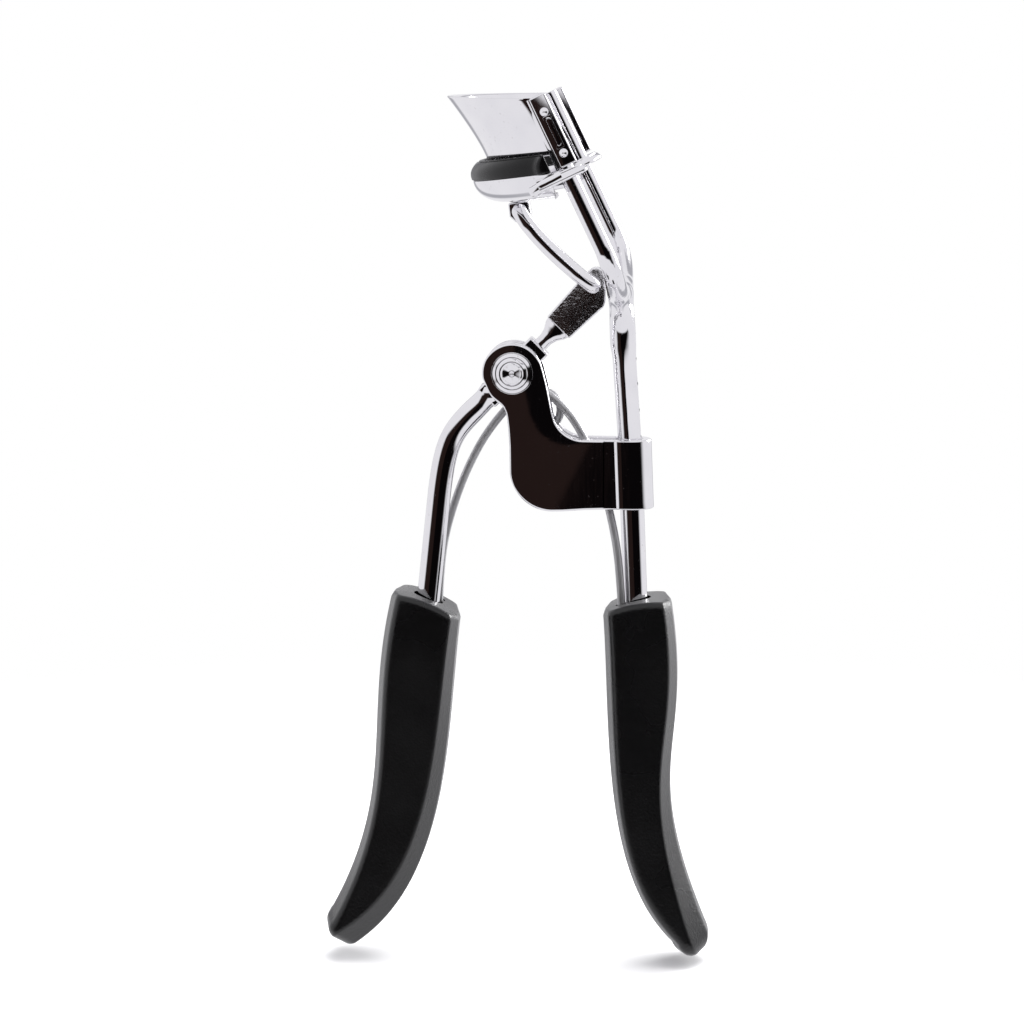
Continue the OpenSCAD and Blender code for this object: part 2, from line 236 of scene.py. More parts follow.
def rod(path, radius, sides=32, end=0.3):
    """Round rod: a circle carried along path, with the frame kept from twisting by projecting the
    same sideways vector, and the radius closed in as a quarter circle of size end at both ends."""
    path = np.asarray(path, float)
    radius = np.broadcast_to(np.asarray(radius, float), len(path)).copy()
    ahead = np.gradient(path, axis=0)
    ahead /= np.linalg.norm(ahead, axis=1, keepdims=True)
    bow = np.radians([90, 67, 45, 22])
    setback = end * (1 - np.sin(bow))[:, None]
    path = np.vstack([path[0] + ahead[0] * setback, path[1:-1],
                      path[-1] - ahead[-1] * setback[::-1]])
    ahead = np.vstack([[ahead[0]] * 4, ahead[1:-1], [ahead[-1]] * 4])
    radius = np.concatenate([radius[0] - end * (1 - np.cos(bow)), radius[1:-1],
                             radius[-1] - end * (1 - np.cos(bow[::-1]))])
    side = np.zeros_like(ahead)
    step = np.array([0.0, 1.0, 0.0]) if abs(ahead[0, 1]) < 0.9 else np.array([1.0, 0.0, 0.0])
    for i, a in enumerate(ahead):
        step = step - a * (step @ a)
        step /= np.linalg.norm(step)
        side[i] = step
    up = np.cross(ahead, side)
    a = np.linspace(0, 2 * np.pi, sides, endpoint=False)[None, :, None]
    rings = path[:, None] + radius[:, None, None] * (np.cos(a) * side[:, None]
                                                      + np.sin(a) * up[:, None])
    return closed_tube(rings)


def piece(name, parts, material, body, nodes, sharp=35):
    """One object from several (vertices, faces) in millimetres about the pivot: joined, put in
    metres in the part's frame, shaded smooth up to the sharp angle, and standing for CAD nodes."""
    verts, faces, start = [], [], 0
    for v, f in parts:
        verts.append(np.asarray(v, float))
        faces += [[int(i) + start for i in face] for face in f]
        start += len(v)
    mesh = bpy.data.meshes.new(name)
    mesh.from_pydata(((np.vstack(verts) + pivot) * MM).tolist(), [], faces)
    mesh.update()
    mesh.polygons.foreach_set("use_smooth", np.ones(len(mesh.polygons), bool))
    mesh.set_sharp_from_angle(angle=np.radians(sharp))
    mesh.materials.append(material)
    made = bpy.data.objects.new(name, mesh)
    bpy.context.scene.collection.objects.link(made)
    if body:
        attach(made, body)
    if nodes:
        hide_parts(*nodes)
    return made


def skin(chains, voxel, reach):
    """One smooth skin over round chains (points, radii): the surface where the soft minimum of the
    distances to all the chains' spans, -reach * log(sum of exp(-distance / reach)), is zero.
    Remeshed tubes give its faces, and every vertex is walked down the distance onto it."""
    rough = bpy.data.meshes.new("rough")
    verts, faces, start = [], [], 0
    for path, radius in chains:
        v, f = rod(path, np.asarray(radius) + 0.4 * voxel, 20)
        verts.append(v)
        faces += [[int(i) + start for i in face] for face in f]
        start += len(v)
    rough.from_pydata((np.vstack(verts) * MM).tolist(), [], faces)
    holder = bpy.data.objects.new("rough", rough)
    bpy.context.scene.collection.objects.link(holder)
    remesh = holder.modifiers.new("voxels", "REMESH")
    remesh.mode, remesh.voxel_size = "VOXEL", voxel * MM
    done = holder.evaluated_get(bpy.context.evaluated_depsgraph_get()).to_mesh()
    points = np.empty(len(done.vertices) * 3)
    done.vertices.foreach_get("co", points)
    points = points.reshape(-1, 3) / MM
    corners = np.empty(len(done.loops), int)
    done.loops.foreach_get("vertex_index", corners)
    corners = corners.reshape(-1, 4)
    holder.evaluated_get(bpy.context.evaluated_depsgraph_get()).to_mesh_clear()
    bpy.data.objects.remove(holder)
    a = np.vstack([np.asarray(p, float)[:-1] for p, _ in chains])
    b = np.vstack([np.asarray(p, float)[1:] for p, _ in chains])
    ra = np.concatenate([np.broadcast_to(r, len(p))[:-1] for p, r in chains])
    rb = np.concatenate([np.broadcast_to(r, len(p))[1:] for p, r in chains])
    which = np.concatenate([np.full(len(p) - 1, i) for i, (p, _) in enumerate(chains)])

    def away(p):
        """Soft-minimum distance of points p; within a chain the minimum is a plain one."""
        total = np.zeros(len(p))
        for i in range(len(chains)):
            s, e, rs, re = (x[which == i] for x in (a, b, ra, rb))
            run = e - s
            t = np.clip(((p[:, None] - s) * run).sum(-1) / (run * run).sum(-1), 0, 1)
            gap = np.linalg.norm(p[:, None] - s - t[..., None] * run, axis=-1)
            total += np.exp(-(gap - rs - t * (re - rs)).min(1) / reach)
        return -reach * np.log(total)

    for _ in range(5):
        here = away(points)
        slope = np.stack([away(points + h) - here for h in np.eye(3) * 0.01], -1) / 0.01
        points -= slope * (here / (slope * slope).sum(-1))[:, None]
    return points, corners.tolist()


def chrome(name, mottle, shade, seed=0.0):
    """Bright chrome over polished steel: a hard blue-white mirror. The plating follows the ground
    steel below it, with long soft ripples about 3 mm apart and pits 0.35 mm across, as deep as
    mottle says. Polishing lines 0.25 mm wide and specks of dust 0.1 to 0.3 mm wide make the mirror
    a little cloudy; shade is its clearest roughness, and seed shifts the whole pattern."""
    ripple_size, pit_size, dust_gap, line_size = 3 * MM, 0.35 * MM, 1.1 * MM, 0.25 * MM
    made, tree = new_material(name)
    spot = add(tree, "ShaderNodeTexCoord").outputs["Object"]
    place = add(tree, "ShaderNodeMapping", Vector=spot, Location=(seed, seed * 0.7, seed * 1.3))
    ripple = add(tree, "ShaderNodeTexNoise", Vector=place.outputs[0], Scale=1 / ripple_size,
                 Detail=1.0)
    pits = add(tree, "ShaderNodeTexNoise", Vector=place.outputs[0], Scale=1 / pit_size,
               Detail=3.0, Roughness=0.6)
    dust = add(tree, "ShaderNodeTexVoronoi", {"feature": "F1"}, Vector=place.outputs[0],
               Scale=1 / dust_gap, Randomness=1.0)
    speck = add(tree, "ShaderNodeMapRange", _0=dust.outputs[0], _1=0.05, _2=0.16, _3=1.0, _4=0.0)
    lines = add(tree, "ShaderNodeMapping", Vector=place.outputs[0], Rotation=(0.3, 0.5, 0.2),
                Scale=(1.0, 1.0, 0.06))
    rub = add(tree, "ShaderNodeTexNoise", Vector=lines.outputs[0], Scale=1 / line_size,
              Detail=2.0)
    cloudy = add(tree, "ShaderNodeMapRange", _0=rub.outputs[0], _1=0.35, _2=0.75,
                 _3=shade, _4=shade + 0.05)
    rough = add(tree, "ShaderNodeMath", {"operation": "MULTIPLY_ADD"}, _0=speck.outputs[0],
                _1=0.12, _2=cloudy.outputs[0])
    warm = add(tree, "ShaderNodeMix", {"data_type": "RGBA"}, _0=ripple.outputs[0],
               _6=linear("E9E8EC"), _7=linear("F4F3F5"))
    dusty = add(tree, "ShaderNodeMix", {"data_type": "RGBA"},
                _0=product(tree, speck.outputs[0], 0.25), _6=warm.outputs[2],
                _7=linear("B9B4B2"))
    height = add(tree, "ShaderNodeMath", {"operation": "MULTIPLY_ADD"}, _0=pits.outputs[0],
                 _1=mottle, _2=product(tree, ripple.outputs[0], 0.35))
    bump = add(tree, "ShaderNodeBump", Height=height.outputs[0], Distance=0.02 * MM, Strength=0.5)
    coated(tree, dusty.outputs[2], rough.outputs[0], bump.outputs[0], Metallic=1.0)
    return made


chrome_bright = chrome("bright chrome on polished steel", mottle=0.05, shade=0.045)
stem_foot, stem_bend, stem_head = (np.array([x, 0, z]) for x, z in
                                   ((16.5, -58), (14.45, -7.3), (13.25, 9.9)))
rail_half, rail_r, rail_length = 15.3, 1.05, 9.22
rail_foot = turned([0, 0, -10.28], lean)
rise = np.linspace(0, 1, 14)[:, None]
stem_flat, flat_turn = 0.97, np.radians(44)
stem_path = np.vstack([stem_foot + (stem_bend - stem_foot) * rise,
                       smooth_path([stem_bend + [0.02, 0, -0.3],
                                    stem_bend + [-0.02, 0, 0.3]], 3)[1:],
                       stem_bend + (stem_head - stem_bend) * rise[1:]])
stem_r = np.full(len(stem_path), 1.5)
skin_voxel, skin_reach = 0.22, 0.25
bow = np.linspace(-np.pi / 2, np.pi / 2, 41)
up = 1 - np.cos(bow)
fork_path = np.stack([stem_head[0] + (rail_foot[0] - stem_head[0]) * up ** 2,
                      rail_half * np.sin(bow),
                      stem_head[2] + (rail_foot[2] - stem_head[2]) * up], -1)
fork_r = rail_r + 0.3 * np.cos(bow)
rail_top = turned([0, 0, rail_length], lean)
straight = np.linspace(0, 1, 8)[:, None]
near_rail = rail_foot + (rail_top - rail_foot) * straight + [0, -rail_half, 0]
far_rail = near_rail * [1, -1, 1]
fork_path = np.vstack([near_rail[:0:-1], fork_path, far_rail[1:]])
rail_radii = np.full(len(straight) - 1, rail_r)
fork_r = np.concatenate([rail_radii, fork_r, rail_radii])
web = smooth_path([(13.62, 0, 3.5), (13.5, 0.5, 5.6), (13.35, 1.7, 7.7), (13.28, 3.4, 9.2),
                   (13.2, 5.4, 10.5)], 5)
web_r = np.interp(np.linspace(0, 1, len(web)), [0, 0.4, 1], [1.25, 1.2, 1.1])
rod_skin, rod_faces = skin([(stem_path, stem_r), (fork_path, fork_r), (web, web_r),
                            (web * [1, -1, 1], web_r)], skin_voxel, skin_reach)
axis_x = stem_bend[0] + (stem_head[0] - stem_bend[0]) * (rod_skin[:, 2] - stem_bend[2]) / (
    stem_head[2] - stem_bend[2])
off_x, off_y = rod_skin[:, 0] - axis_x, rod_skin[:, 1]
proud = np.maximum(off_x * np.sin(flat_turn) + np.abs(off_y) * np.cos(flat_turn) - stem_flat, 0)
fade = np.clip((rod_skin[:, 2] + 10.5) / 1.5, 0, 1) * np.clip((8.5 - rod_skin[:, 2]) / 9.0, 0, 1)
fade = proud * fade * fade * (3 - 2 * fade) * np.clip((2.0 - np.hypot(off_x, off_y)) / 0.4, 0, 1)
rod_skin = rod_skin - np.stack([fade * np.sin(flat_turn),
                                fade * np.cos(flat_turn) * np.sign(off_y), 0 * fade], -1)
piece("frame_rod", [(rod_skin, rod_faces)], chrome_bright,
      "frame", ["stem", "rail_left", "rail_right"], sharp=60)

# ---------------------------------------------------------------------------
# Curling plate: 0.8 mm sheet bowed to the eyelid, its upper part flared outwards,
# edges ground round, brazed to the two rails and chrome plated.
# ---------------------------------------------------------------------------
plate_axis, plate_r, plate_t, plate_edge = 10.0, 19.2, 0.8, 0.25


def round_strip(width, r, along=24, corner=7):
    """Loop of (u, v) around a strip: u across the thickness from 0 to width, v from 0 to 1 along
    it, and w, the way the corners of radius r step in: a rounded rectangle, long sides split."""
    a = np.linspace(0, np.pi / 2, corner)
    side = np.linspace(0, 1, along)[1:-1]
    u = np.concatenate([width - r + r * np.sin(a), np.full(along - 2, width),
                        width - r + r * np.cos(a), r - r * np.sin(a), np.zeros(along - 2),
                        r - r * np.cos(a)])
    v = np.concatenate([np.zeros(corner), side, np.ones(corner), np.ones(corner), side[::-1],
                        np.zeros(corner)])
    w = np.concatenate([r - r * np.cos(a), np.zeros(along - 2), -(r - r * np.sin(a)),
                        -(r - r * np.cos(a)), np.zeros(along - 2), r - r * np.sin(a)])
    return u, v, w


def bowed_plate(half):
    """Sheet bowed round plate_axis: radius plate_r plus the flare 0.0513 * height^1.5 above 6 mm,
    standing between the tilted foot plane and the level top plane, with round edges."""
    y = np.linspace(-half, half, 97)[:, None]
    u, v, w = (x[None] for x in round_strip(plate_t, plate_edge))
    z = np.full((y.shape[0], u.shape[1]), 5.0)
    for _ in range(8):
        radius = plate_r - plate_t + u + 0.0513 * np.maximum(z - 6, 0) ** 1.5
        x = plate_axis - np.sqrt(radius ** 2 - y ** 2)
        foot = (1.9 - x * np.sin(lean - tilt)) / np.cos(lean - tilt)
        top = (34.0 - seat[2] - x * np.sin(lean)) / np.cos(lean)
        z = foot + (top - foot) * v + w
    return closed_tube(turned(np.stack([x, np.broadcast_to(y, x.shape), z], -1), lean))


piece("curl_plate", [bowed_plate(16.1)],
      chrome("bright chrome on bowed sheet", mottle=0.04, shade=0.05, seed=0.3), "frame",
      ["curl_plate"], sharp=50)

# ---------------------------------------------------------------------------
# Side plates: 0.9 mm steel strips brazed to the outside of the rails, each with a
# pressed groove and two small domed rivets. Edges tumbled round, chrome plated.
# ---------------------------------------------------------------------------


def outline_loop(points, r, corner=6, along=6):
    """Closed polygon (x, z) with every corner turned into an arc of radius r, and its straight
    sides split, as an anticlockwise loop of points."""
    p = np.asarray(points, float)
    if (p[:, 0] * np.roll(p[:, 1], -1) - p[:, 1] * np.roll(p[:, 0], -1)).sum() < 0:
        p = p[::-1]
    before, after = np.roll(p, 1, 0) - p, np.roll(p, -1, 0) - p
    before /= np.linalg.norm(before, axis=1, keepdims=True)
    after /= np.linalg.norm(after, axis=1, keepdims=True)
    r = np.broadcast_to(np.asarray(r, float), len(p))
    half = np.arccos(np.clip((before * after).sum(1), -1, 1)) / 2
    reach = r / np.tan(half)
    t = np.linspace(0, 1, corner)[None, :, None]
    s, e = p + before * reach[:, None], p + after * reach[:, None]
    arcs = (1 - t) ** 2 * s[:, None] + 2 * t * (1 - t) * p[:, None] + t ** 2 * e[:, None]
    side = np.linspace(0, 1, along + 1)[1:-1][None, :, None]
    sides = e[:, None] + (np.roll(s, -1, 0) - e)[:, None] * side
    return np.concatenate([arcs, sides], 1).reshape(-1, 2)


def slab(loop, low, high, r):
    """Flat part between the depths low and high along Y: the loop (x, z) carried through the
    thickness, set in by r * (1 - sin) near both faces, so that its edges are rounds of radius r."""
    loop = np.asarray(loop, float)
    ahead = np.roll(loop, -1, 0) - np.roll(loop, 1, 0)
    outwards = np.stack([ahead[:, 1], -ahead[:, 0]], -1)
    outwards /= np.linalg.norm(outwards, axis=1, keepdims=True)
    a = np.linspace(0, np.pi / 2, 5)
    inset = np.concatenate([r * (1 - np.sin(a)), r * (1 - np.sin(a[::-1]))])
    depth = np.concatenate([low + r * (1 - np.cos(a)), high - r * (1 - np.cos(a[::-1]))])
    flat = loop[None] - outwards[None] * inset[:, None, None]
    rings = np.stack([flat[..., 0], np.broadcast_to(depth[:, None], flat.shape[:2]),
                      flat[..., 1]], -1)
    return closed_tube(rings)


def lathe(profile, centre, sign=1, sides=48):
    """Turned part: the profile (radius, depth along Y) carried round the Y line through centre,
    starting and ending on the line; sign -1 mirrors it to the -Y side."""
    r, y = np.asarray(profile, float).T
    a = np.linspace(0, 2 * np.pi, sides, endpoint=False)
    turn = a if sign < 0 else -a
    rings = np.stack([centre[0] + r[:, None] * np.cos(turn), np.broadcast_to(sign * y[:, None],
                      (len(r), sides)), centre[1] + r[:, None] * np.sin(turn)], -1)
    verts, faces = closed_tube(rings)
    return verts, [face[::-1] for face in faces]


side_in, side_t, groove_half, groove_deep = 16.38, 0.9, 0.25, 0.15
rivet_spots = ((0.75, 7.2), (0.75, 1.9))
side_strip = outline_loop([(-0.3, 0.35), (1.75, 0.35), (1.75, 9.3), (-0.3, 9.3)], 0.3)


def side_plate(sign):
    """Strip with round edges; the groove is a dished channel pressed into its outer face: the face
    is a grid whose depth falls by groove_deep * (1 - (across / half width)^4) along a slot."""
    verts, faces = slab(side_strip, side_in, side_in + side_t, 0.22)
    face_x, face_z, slot_half, edge_drop = 0.75, 4.6, 1.45, 0.03
    y_face = side_in + side_t + 0.004
    s, t = np.meshgrid(np.linspace(-1, 1, 25), np.linspace(-1, 1, 81), indexing="ij")
    x, z = face_x + 0.5 * s, face_z + 2.1 * t
    out = np.hypot(x - face_x, np.maximum(np.abs(z - face_z) - slot_half, 0))
    lip = 0.03 * np.exp(-((out - groove_half - 0.05) / 0.07) ** 2)
    y = y_face - groove_deep * np.clip(1 - (out / groove_half) ** 4, 0, 1) + lip
    y[[0, -1], :] = y_face - edge_drop
    y[:, [0, -1]] = y_face - edge_drop
    grid = np.stack([x, y, z], -1).reshape(-1, 3)
    both = [(verts, faces), (grid, grid_faces(25, 81, closed=False)[:, ::-1].tolist())]
    made = []
    for v, f in both:
        v = turned(np.asarray(v) * [1, sign, 1], lean)
        made.append((v, f if sign > 0 else [face[::-1] for face in f]))
    return made


rivet_profile = np.array([(0.001, 0.36), (0.08, 0.345), (0.2, 0.28), (0.35, 0.18), (0.49, 0.08),
                          (0.55, -0.06), (0.55, -0.2), (0.001, -0.21)]) + [0, side_in + side_t]
side_chrome = chrome("bright chrome on pressed strip", mottle=0.12, shade=0.06, seed=0.5)
for sign, hand in both_sides:
    piece("side_plate_" + hand, side_plate(sign), side_chrome, "frame",
          ["side_plate_" + hand])
    heads = []
    for x, z in rivet_spots:
        v, f = lathe(rivet_profile, (x, z), sign, 40)
        heads.append((turned(v, lean), f))
    piece("plate_rivets_" + hand, heads, side_chrome, "frame", ["plate_rivets_" + hand],
          sharp=50)

# ---------------------------------------------------------------------------
# Bracket: one 1.1 mm steel blank folded round the stem, its ends standing as two
# ears that hold the pivot rivet. Cut edges tumbled, chrome plated, crimped on.
# ---------------------------------------------------------------------------
ear_in, ear_out = 1.3, 2.4


def arc(cx, cz, r, start, stop, steps):
    """Points of a circle's arc between two angles in degrees."""
    a = np.radians(np.linspace(start, stop, steps))
    return np.stack([cx + r * np.cos(a), cz + r * np.sin(a)], -1)


def resample(loop, spacing):
    """The same closed loop with evenly spaced points."""
    p = np.vstack([loop, loop[:1]])
    way = np.concatenate([[0], np.cumsum(np.linalg.norm(np.diff(p, axis=0), axis=1))])
    s = np.linspace(0, way[-1], int(way[-1] / spacing) + 1)[:-1]
    return np.stack([np.interp(s, way, p[:, 0]), np.interp(s, way, p[:, 1])], -1)


def ear_loop():
    """Anticlockwise outline of an ear: round head, straight back, round heel, level foot up to the
    wrap, then the hollow under the head."""
    return np.vstack([arc(0, 0, 3.75, 14, 190, 46),
                      smooth_path([(-3.6, -0.9, 0), (-2.6, -2.9, 0), (-1.0, -4.4, 0),
                                   (-0.55, -6.4, 0), (-0.35, -9.0, 0)], 8)[:, :2],
                      arc(5, -11.9, 5.33, 186, 268, 24),
                      [(6.2, -17.2), (7.6, -17.1), (9.0, -17.0), (11.6, -16.9)],
                      [(11.6, -15.0), (11.6, -12.0), (11.6, -8.2), (10.0, -8.2)],
                      arc(8.9, -4.2, 4.0, 266, 192, 18), [(4.3, -1.6), (3.85, 0.2)]])


ear_shape = resample(ear_loop(), 0.16)


def folded_strap():
    """Sheet folded round the stem: the middle line of its thickness in plan, (across, depth), comes
    in straight from one ear, steps out by 0.33 mm where it is crimped, goes round the stem as an
    arc of radius 2.15 and back, and a rounded strip section is carried along it."""
    fold_r, crimp, strap_t, strap_low, strap_rise = 2.15, 0.33, 1.12, -16.88, 8.66
    across = np.linspace(-5.9, 0, 60)
    step = np.clip((across + 1.75) / 0.6, 0, 1)
    depth = fold_r - crimp + crimp * step * step * (3 - 2 * step)
    near = np.stack([across, -depth], -1)
    turn = np.linspace(-np.pi / 2, np.pi / 2, 41)[1:-1]
    line = np.vstack([near, np.stack([fold_r * np.cos(turn), fold_r * np.sin(turn)], -1),
                      (near * [1, -1])[::-1]])
    ahead = np.gradient(line, axis=0)
    outwards = np.stack([ahead[:, 1], -ahead[:, 0]], -1)
    outwards /= np.linalg.norm(outwards, axis=1, keepdims=True)
    u, v, w = round_strip(strap_t, 0.2, along=10)
    z = strap_low + strap_rise * v + w
    plan = line[:, None] + outwards[:, None] * (u - strap_t / 2)[None, :, None]
    x = stem_bend[0] + (stem_foot[0] - stem_bend[0]) * (z - stem_bend[2]) / (stem_foot[2]
                                                                          - stem_bend[2])
    rings = np.stack([plan[..., 0] + x, plan[..., 1], np.broadcast_to(z, plan.shape[:2])], -1)
    return closed_tube(rings)


near_ear = slab(ear_shape, -ear_out, -ear_in, 0.3)
far_ear = slab(ear_shape, ear_in, ear_out, 0.3)
bracket_chrome = chrome("bright chrome on folded sheet", mottle=0.05, shade=0.05, seed=0.9)
piece("bracket", [near_ear, far_ear, folded_strap()], bracket_chrome, "frame", ["bracket"],
      sharp=50)

# ---------------------------------------------------------------------------
# Pivot rivet and washers: turned steel rivet, its head spun over a 0.3 mm washer
# on each side, with a stepped crown and the pointed dimple of the spinning tool.
# ---------------------------------------------------------------------------
head_profile = [(1.2, 1.2), (1.2, 2.5), (1.86, 2.62), (1.96, 2.68), (1.94, 2.76), (1.8, 2.87),
                (1.58, 3.0), (1.54, 3.0), (1.5, 2.95), (1.46, 2.98), (1.34, 3.1), (1.2, 3.2),
                (1.16, 3.21), (1.08, 3.16), (0.8, 3.03), (0.5, 2.9), (0.4, 2.87), (0.3, 2.9),
                (0.14, 3.02), (0.001, 3.06)]
washer_profile = [(1.3, 2.41), (2.5, 2.41), (2.55, 2.43), (2.55, 2.46), (2.5, 2.47), (2.4, 2.5),
                  (2.1, 2.66), (2.05, 2.67), (2.0, 2.64), (1.3, 2.62)]
rivet_chrome = chrome("bright chrome on turned steel", mottle=0.1, shade=0.07, seed=1.4)


def turned_part(points, sign):
    """Part turned from a smoothed profile, six points to a span; both ends meet the axis, so that
    the shell is closed."""
    p = smooth_path(points, 6)
    p = np.vstack([[0.001, p[0, 1]], p, [0.001, p[-1, 1]]])
    v, f = lathe(p, (0, 0), sign, 96)
    return v, [face[::-1] for face in f]


piece("pivot_rivet", [turned_part(head_profile, -1), turned_part(head_profile, 1)], rivet_chrome,
      "frame", ["pivot_rivet"], sharp=60)
for sign, hand in both_sides:
    piece("washer_" + hand, [turned_part(washer_profile, sign)], rivet_chrome, "frame",
          ["washer_" + hand], sharp=60)

# ---------------------------------------------------------------------------
# Lever: forged arm with a flat boss at the pivot, a waisted neck and a flat paddle
# as cast. Polished and chrome plated, the paddle's faces left with the cast texture.
# ---------------------------------------------------------------------------


def bezier(p, n):
    """Cubic Bezier curve through p[0] and p[3], pulled towards p[1] and p[2]."""
    t = np.linspace(0, 1, n)[:, None]
    p = np.asarray(p, float)
    return ((1 - t) ** 3 * p[0] + 3 * (1 - t) ** 2 * t * p[1] + 3 * (1 - t) * t ** 2 * p[2]
            + t ** 3 * p[3])


def flat_points(points):
    """(x, z) points as (x, 0, z)."""
    points = np.asarray(points, float)
    return np.stack([points[:, 0], np.zeros(len(points)), points[:, 1]], -1)


arm_foot = np.array([-13.2, -52.0])
arm_curve = bezier([[-9.3, -15.5], [-8.3, -7], [-7.2, -7.4], [-2.2, -2.1]], 30)
arm_path = flat_points(np.vstack([arm_foot + (arm_curve[0] - arm_foot)
                                  * np.linspace(0, 1, 16)[:-1, None], arm_curve]))
near_boss = np.linalg.norm(arm_path, axis=1)
arm_r = (1.45 - 0.3 * np.maximum(0, 1 - near_boss / 7)
         + 0.35 * np.exp(-((near_boss - 3.9) / 0.6) ** 2))
diag = np.sqrt(0.5)
boss_loop = resample(outline_loop(
    [(-4.7, -1.55), (-2.2, -1.55), (-1.8, -2.3), (1.8, -2.3), (2.2, -1.55), (4.7, -1.55),
     (4.7, 1.55), (2.2, 1.55), (1.8, 2.3), (-1.8, 2.3), (-2.2, 1.55), (-4.7, 1.55)], 0.25)
    @ np.array([[diag, diag], [-diag, diag]]), 0.12)
neck_way = np.array([diag, 0, diag])
neck_at = np.linspace(3.4, 8.3, 40)[:, None, None]
neck_half = np.interp(neck_at, [3.4, 4.1, 4.9, 5.7, 6.5, 7.3, 8.3],
                      [1.4, 1.12, 0.88, 0.86, 1.1, 1.6, 1.85])
neck_round = np.linspace(0, 2 * np.pi, 40, endpoint=False)[None, :, None]
neck_rings = (neck_at * neck_way + neck_half * np.cos(neck_round) * np.array([-diag, 0, diag])
              + (0.84 + 0.1 * np.cos(neck_at)) * np.sin(neck_round) * np.array([0, 1.0, 0]))
paddle_loop = resample(outline_loop(
    [(6.95, 4.2), (11.2, 8.15), (11.4, 8.8), (11.4, 11.9), (11.1, 12.7), (10.5, 13.05),
     (9.8, 12.95), (9.0, 12.3), (4.2, 6.85)],
    [0.25, 0.3, 0.3, 0.4, 0.3, 0.3, 0.3, 0.6, 0.25]), 0.12)
lever_parts = [rod(arm_path, arm_r, 40), closed_tube(neck_rings),
               slab(boss_loop, -1.2, 1.2, 0.28)]
piece("lever_arm", lever_parts, chrome("bright chrome on forged steel", mottle=0.06, shade=0.05,
      seed=1.9), "lever", ["lever"], sharp=50)
cast = chrome("bright chrome on cast face", mottle=6.0, shade=0.14, seed=2.3)
piece("lever_paddle", [slab(paddle_loop, -0.9, 0.9, 0.22)], cast, "lever", [],
      sharp=50)

# ---------------------------------------------------------------------------
# Spring: 1 mm hard-drawn steel wire, one turn between the ears and a leg down into
# each grip, bright grey and unplated. It opens the handles, bending at its turn.
# ---------------------------------------------------------------------------


def drawn_wire():
    """Spring steel wire: satin mid grey, with drawing lines along its length about 0.08 mm apart,
    drawn 0.2 mm apart to show, and darker tempering stains 4 mm long."""
    made, tree = new_material("drawn spring steel")
    spot = add(tree, "ShaderNodeTexCoord").outputs["Object"]
    long = add(tree, "ShaderNodeMapping", Vector=spot, Scale=(1, 1, 0.08))
    lines = add(tree, "ShaderNodeTexNoise", Vector=long.outputs[0], Scale=1 / (0.2 * MM),
                Detail=3.0)
    stain = add(tree, "ShaderNodeTexNoise", Vector=spot, Scale=1 / (4 * MM), Detail=2.0)
    tone = add(tree, "ShaderNodeMix", {"data_type": "RGBA"}, _0=stain.outputs[0],
               _6=linear("BDBDBE"), _7=linear("D6D6D8"))
    rough = add(tree, "ShaderNodeMapRange", _0=lines.outputs[0], _1=0.3, _2=0.7, _3=0.42, _4=0.55)
    bump = add(tree, "ShaderNodeBump", Height=lines.outputs[0], Distance=0.02 * MM, Strength=0.6)
    coated(tree, tone.outputs[2], rough.outputs[0], bump.outputs[0], Metallic=1.0)
    return made


coil_turn = np.radians(108 - 396 * np.linspace(0, 1, 25))
coil = np.stack([3.6 + 2.25 * np.cos(coil_turn), 0.75 - 1.5 * np.linspace(0, 1, 25),
                 -4.8 + 2.25 * np.sin(coil_turn)], -1)
left_leg = [(-9.75, 1.8, -36), (-9.6, 1.8, -31), (-9.35, 1.8, -26), (-8.8, 1.7, -21.5),
            (-7.65, 1.5, -17.2), (-6.0, 1.2, -12.8), (-3.9, 0.9, -8.7), (-1.5, 0.76, -5.4),
            (0.7, 0.75, -3.3)]
right_leg = [(5.6, -0.75, -3.7), (7.3, -0.75, -5.6), (8.9, -0.75, -8.3), (10.6, -0.85, -12.2),
             (12, -1.1, -17), (13.0, -1.3, -22), (13.5, -1.4, -27), (13.7, -1.4, -31),
             (13.8, -1.4, -36)]
wire = smooth_path(np.vstack([left_leg, coil, right_leg]), 6)
spring = piece("spring", [rod(wire, 0.5, 20, 0.2)], drawn_wire(), None, ["spring"],
               sharp=60)
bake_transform(spring)

# ---------------------------------------------------------------------------
# Grips: moulded black ABS, grained like fine leather, pressed over the rods. A nearly
# flat face, a crisp edge, walls that lean back lower down, and a domed mouth.
# ---------------------------------------------------------------------------
grip_half = 4.6


